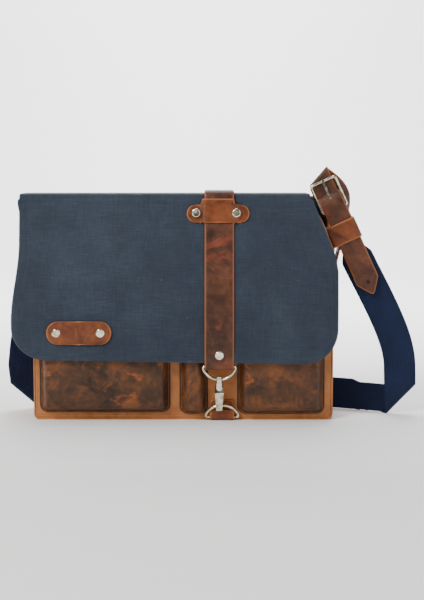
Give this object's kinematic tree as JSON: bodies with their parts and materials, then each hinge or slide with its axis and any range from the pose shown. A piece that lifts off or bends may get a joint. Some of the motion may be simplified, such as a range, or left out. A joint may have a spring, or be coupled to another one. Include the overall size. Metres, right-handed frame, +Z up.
{
  "type": "messenger bag",
  "caption": "Upright leather and canvas messenger bag: folding flap, strap with swivel snap hook, moulded front pockets and an adjustable webbing shoulder strap.",
  "frame": {"origin": "middle of the base's underside, where the bag stands", "axes": "+X along the bag's width, towards the buckle end; +Y towards its back; +Z up"},
  "size_m": [0.525, 0.1222, 0.317],
  "materials": {
    "tan_leather": "smooth caramel leather with darker burnished edges",
    "canvas": "waxed slate-blue canvas with faint slubs",
    "lining_cloth": "plain cotton twill",
    "board": "stiff fibre board",
    "pocket_leather": "distressed pull-up leather, dark brown with orange streaks",
    "strap_leather": "brown bridle leather with paler cut edges",
    "plate_leather": "orange-brown pull-up leather",
    "webbing": "ribbed navy webbing",
    "nickel": "polished nickel plate"
  },
  "bodies": {
    "bag": {"front_panel": "tan_leather", "back_panel": "canvas", "gusset": "tan_leather", "base_board": "board", "lining": "lining_cloth", "divider": "tan_leather", "inner_pocket": "lining_cloth", "left_pocket": "pocket_leather", "middle_pocket": "pocket_leather", "right_pocket": "pocket_leather", "flap_anchor": "canvas", "closure_strap_back": "strap_leather", "lower_chape": "plate_leather", "right_anchor_tab": "strap_leather", "right_anchor_rivets": "nickel", "left_anchor_tab": "strap_leather", "left_anchor_rivets": "nickel", "billet_riser": "strap_leather", "billet_loop": "strap_leather", "billet": "strap_leather", "buckle_frame": "nickel", "buckle_chape": "strap_leather", "webbing_right_run": "webbing", "webbing_back_run": "webbing", "webbing_left_run": "webbing"},
    "flap_top": {"flap_top_canvas": "canvas", "flap_top_lining": "lining_cloth", "closure_strap_top": "strap_leather"},
    "flap_front": {"flap_front_canvas": "canvas", "flap_front_lining": "lining_cloth", "closure_strap_front": "strap_leather", "strap_plate": "plate_leather", "strap_plate_rivets": "nickel", "name_plate": "plate_leather", "name_plate_rivets": "nickel", "closure_rivet": "nickel"},
    "hook_eye": {"hook_eye": "nickel"},
    "hook": {"hook_body": "nickel", "gate_pin": "nickel"},
    "gate": {"hook_gate": "nickel"},
    "lower_ring": {"lower_ring": "nickel"},
    "prong": {"buckle_prong": "nickel"},
    "keeper": {"strap_keeper": "strap_leather"}
  },
  "joints": [
    {"name": "flap_lift", "type": "hinge", "parent": "bag", "child": "flap_top", "pos_m": [0, 0.038, 0.2835], "axis": [-1, 0, 0], "range_deg": [0, 225]},
    {"name": "flap_fold", "type": "hinge", "parent": "flap_top", "child": "flap_front", "pos_m": [0, -0.038, 0.286], "axis": [-1, 0, 0], "range_deg": [0, 90]},
    {"name": "hook_swing", "type": "hinge", "parent": "flap_front", "child": "hook_eye", "pos_m": [0.0455, -0.05645, 0.0715], "axis": [-1, 0, 0], "range_deg": [0, 80]},
    {"name": "hook_swivel", "type": "hinge", "parent": "hook_eye", "child": "hook", "pos_m": [0.0455, -0.05645, 0.0715], "axis": [0, -0.1925, 0.9813], "range_deg": [-8, 8]},
    {"name": "gate_press", "type": "hinge", "parent": "hook", "child": "gate", "pos_m": [0.0455, -0.0446, 0.0407], "axis": [-1, 0, 0], "range_deg": [0, 24], "stiffness_Nm_per_rad": 0.004, "springref_deg": -28.65},
    {"name": "ring_swing", "type": "hinge", "parent": "bag", "child": "lower_ring", "pos_m": [0.0455, -0.03905, 0.00465], "axis": [-1, 0, 0], "range_deg": [-2, 2]},
    {"name": "prong_lift", "type": "hinge", "parent": "bag", "child": "prong", "pos_m": [0.19259, -0.0105, 0.2655], "axis": [0.9085, 0, 0.4179], "range_deg": [0, 75]},
    {"name": "keeper_slide", "type": "slide", "parent": "bag", "child": "keeper", "axis": [0.4179, 0, -0.9085], "range_m": [-0.004, 0.013]}
  ],
  "couplings": [
    {"joint": "flap_fold", "follows": "flap_lift", "ratio": 0.4}
  ]
}
